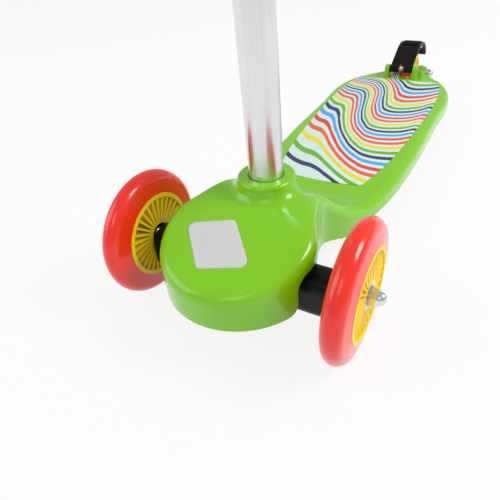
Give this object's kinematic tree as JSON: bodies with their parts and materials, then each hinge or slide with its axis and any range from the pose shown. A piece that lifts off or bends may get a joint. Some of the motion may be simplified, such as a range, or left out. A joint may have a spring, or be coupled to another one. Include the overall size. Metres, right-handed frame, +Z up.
{
  "type": "kick scooter",
  "caption": "Small child's lean-to-steer kick scooter: moulded deck with a round nose, ribbed front wheels, a rear wheel under a foot brake, and a T-bar in a collar.",
  "frame": {"origin": "on the ground, midway along the length and across the width", "axes": "+X to the rider's left, -Y the way it rides (the nose), +Z up"},
  "size_m": [0.29, 0.68, 0.62],
  "materials": {
    "green_plastic": "glossy moulded",
    "printed_mat": "fine textured, printed",
    "badge_film": "plain film",
    "black_nylon": "moulded",
    "steel": "zinc plated",
    "chrome_steel": "polished",
    "aluminium_tube": "satin anodised",
    "brass": "turned",
    "bushing_rubber": "moulded",
    "red_tyre": "glossy polyurethane",
    "yellow_plastic": "glossy moulded",
    "grip_rubber": "soft moulded"
  },
  "bodies": {
    "deck": {"deck_moulding": "green_plastic", "grip_mat": "printed_mat", "badge": "badge_film", "kingpin": "steel", "kingpin_insert": "brass", "kingpin_washer": "steel", "upper_bushing": "bushing_rubber", "lower_bushing": "bushing_rubber", "rear_axle_bolt": "steel", "rear_axle_washers": "steel", "rear_axle_nut": "chrome_steel", "rear_axle_spacers": "steel", "brake_pin": "steel", "brake_spring": "steel", "column_tube": "aluminium_tube", "crossbar": "aluminium_tube", "t_connector": "green_plastic", "connector_screw": "steel", "left_grip": "grip_rubber", "right_grip": "grip_rubber"},
    "truck": {"truck_beam": "black_nylon", "kingpin_sleeve": "steel", "front_axle": "steel", "front_axle_washers": "steel", "front_axle_nuts": "chrome_steel", "front_axle_spacers": "steel"},
    "left_wheel": {"left_wheel_tyre": "red_tyre", "left_wheel_hub": "yellow_plastic", "left_wheel_bearings": "chrome_steel", "left_wheel_bearing_spacer": "steel"},
    "right_wheel": {"right_wheel_tyre": "red_tyre", "right_wheel_hub": "yellow_plastic", "right_wheel_bearings": "chrome_steel", "right_wheel_bearing_spacer": "steel"},
    "rear_wheel": {"rear_wheel_tyre": "red_tyre", "rear_wheel_hub": "yellow_plastic", "rear_wheel_bearings": "chrome_steel", "rear_wheel_bearing_spacer": "steel"},
    "brake": {"brake_fender": "black_nylon", "brake_wear_plate": "steel"},
    "button": {"snap_button": "steel", "button_spring": "steel"}
  },
  "joints": [
    {"name": "lean_steer", "type": "hinge", "parent": "deck", "child": "truck", "pos_m": [0, -0.26035, 0.0681], "axis": [0, -0.6428, 0.766], "range_deg": [-10, 10], "stiffness_Nm_per_rad": 45},
    {"name": "left_wheel_spin", "type": "hinge", "parent": "truck", "child": "left_wheel", "pos_m": [0.1015, -0.27, 0.06], "axis": [1, 0, 0], "continuous": true},
    {"name": "right_wheel_spin", "type": "hinge", "parent": "truck", "child": "right_wheel", "pos_m": [-0.1015, -0.27, 0.06], "axis": [1, 0, 0], "continuous": true},
    {"name": "rear_wheel_spin", "type": "hinge", "parent": "deck", "child": "rear_wheel", "pos_m": [0, 0.29615, 0.04], "axis": [1, 0, 0], "continuous": true},
    {"name": "brake_press", "type": "hinge", "parent": "deck", "child": "brake", "pos_m": [0, 0.24515, 0.061], "axis": [-1, 0, 0], "range_deg": [0, 3.6], "stiffness_Nm_per_rad": 1.2, "springref_deg": -8.59},
    {"name": "button_press", "type": "slide", "parent": "deck", "child": "button", "axis": [0, -1, 0], "range_m": [0, 0.005], "stiffness_N_per_m": 900, "springref_m": -0.002}
  ]
}
